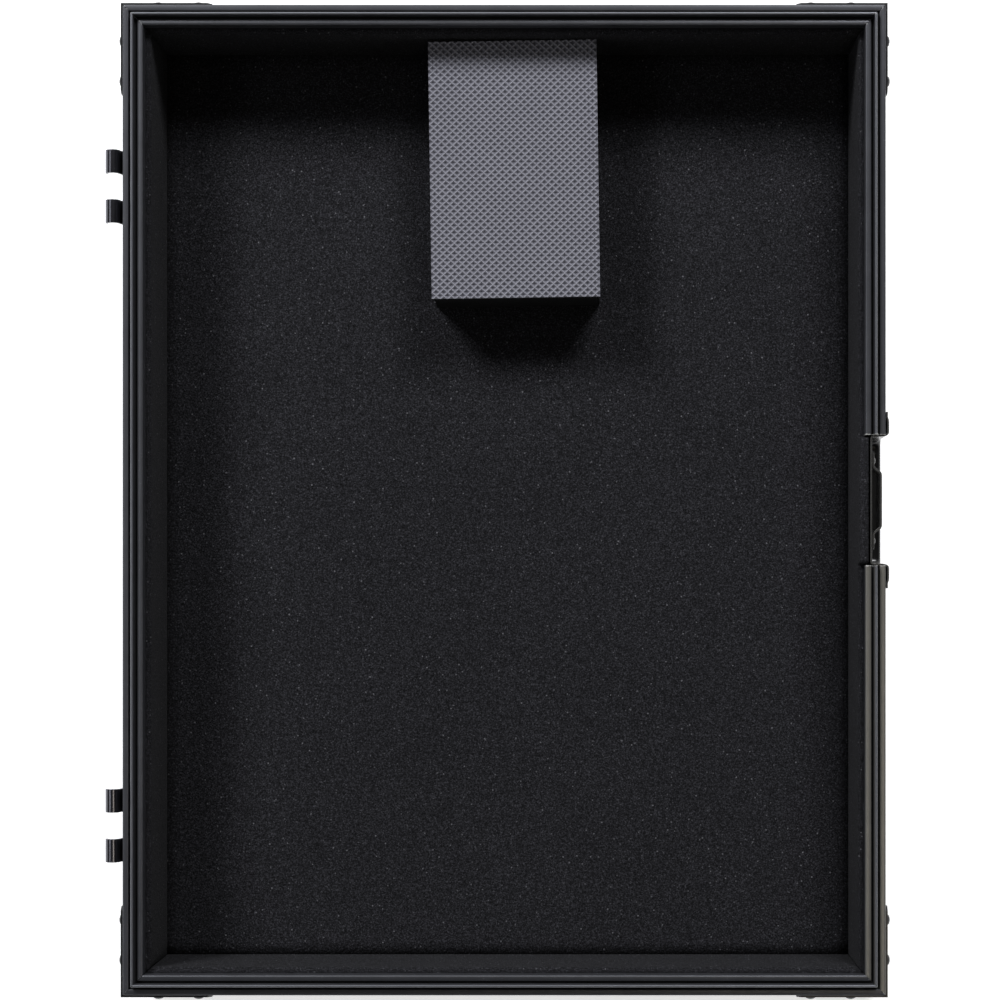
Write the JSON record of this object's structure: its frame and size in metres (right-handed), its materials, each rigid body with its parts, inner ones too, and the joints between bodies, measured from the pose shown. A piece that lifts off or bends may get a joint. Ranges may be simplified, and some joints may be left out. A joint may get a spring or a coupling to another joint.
{
  "type": "flight case lid",
  "caption": "Shallow rectangular lid half of a black flight case: tongue rail round the rim, felt lining, foam rest block, lift-off hinge hooks and a recessed latch keeper.",
  "frame": {"origin": "middle of the underside of the bounding box, with the lid lying on its ball corners and its open side up", "axes": "+Z out of the open side, +Y along the long sides towards the end with the rest block, +X from the hinge side to the latch side"},
  "size_m": [0.5396, 0.6898, 0.1089],
  "materials": {
    "anodised_aluminium": "black anodised extrusion, satin, faint lengthwise die lines",
    "laminated_plywood": "plywood faced with black fine-grain laminate, low sheen",
    "black_steel": "black electroplated pressed steel, semi-gloss",
    "pressed_latch_steel": "black coated pressed steel, glossy on the bends",
    "felt_lining": "needle-punched black felt on thin foam, matt, with a few pale fibres",
    "block_foam": "firm closed-cell foam, fine pores, matt",
    "embossed_sheet": "dark grey sheet embossed with small diamonds, matt"
  },
  "bodies": {
    "root": {"ball_corner_hinge_block": "black_steel", "ball_corner_hinge_plain": "black_steel", "ball_corner_latch_block": "black_steel", "ball_corner_latch_plain": "black_steel", "block_core": "block_foam", "block_face": "embossed_sheet", "brace_rivet_hinge_block_end_1": "black_steel", "brace_rivet_hinge_block_end_2": "black_steel", "brace_rivet_hinge_block_side_1": "black_steel", "brace_rivet_hinge_block_side_2": "black_steel", "brace_rivet_hinge_plain_end_1": "black_steel", "brace_rivet_hinge_plain_end_2": "black_steel", "brace_rivet_hinge_plain_side_1": "black_steel", "brace_rivet_hinge_plain_side_2": "black_steel", "brace_rivet_latch_block_end_1": "black_steel", "brace_rivet_latch_block_end_2": "black_steel", "brace_rivet_latch_block_side_1": "black_steel", "brace_rivet_latch_block_side_2": "black_steel", "brace_rivet_latch_plain_end_1": "black_steel", "brace_rivet_latch_plain_end_2": "black_steel", "brace_rivet_latch_plain_side_1": "black_steel", "brace_rivet_latch_plain_side_2": "black_steel", "corner_angle_hinge_block": "anodised_aluminium", "corner_angle_hinge_plain": "anodised_aluminium", "corner_angle_latch_block": "anodised_aluminium", "corner_angle_latch_plain": "anodised_aluminium", "corner_brace_hinge_block": "black_steel", "corner_brace_hinge_plain": "black_steel", "corner_brace_latch_block": "black_steel", "corner_brace_latch_plain": "black_steel", "edge_angle_block_end": "anodised_aluminium", "edge_angle_hinge_side": "anodised_aluminium", "edge_angle_latch_side": "anodised_aluminium", "edge_angle_plain_end": "anodised_aluminium", "hinge_leaf_block_end": "black_steel", "hinge_leaf_plain_end": "black_steel", "hinge_rivet_block_end_1": "black_steel", "hinge_rivet_block_end_2": "black_steel", "hinge_rivet_plain_end_1": "black_steel", "hinge_rivet_plain_end_2": "black_steel", "keeper_rivet_1": "black_steel", "keeper_rivet_2": "black_steel", "latch_dish": "pressed_latch_steel", "latch_keeper": "pressed_latch_steel", "lining_block_end": "felt_lining", "lining_floor": "felt_lining", "lining_hinge_side": "felt_lining", "lining_latch_side": "felt_lining", "lining_plain_end": "felt_lining", "outer_panel": "laminated_plywood", "rim_rail_block_end": "anodised_aluminium", "rim_rail_hinge_side": "anodised_aluminium", "rim_rail_latch_side_by_block": "anodised_aluminium", "rim_rail_latch_side_plain": "anodised_aluminium", "rim_rail_plain_end": "anodised_aluminium", "wall_panel_block_end": "laminated_plywood", "wall_panel_hinge_side": "laminated_plywood", "wall_panel_latch_side": "laminated_plywood", "wall_panel_plain_end": "laminated_plywood"}
  },
  "joints": []
}
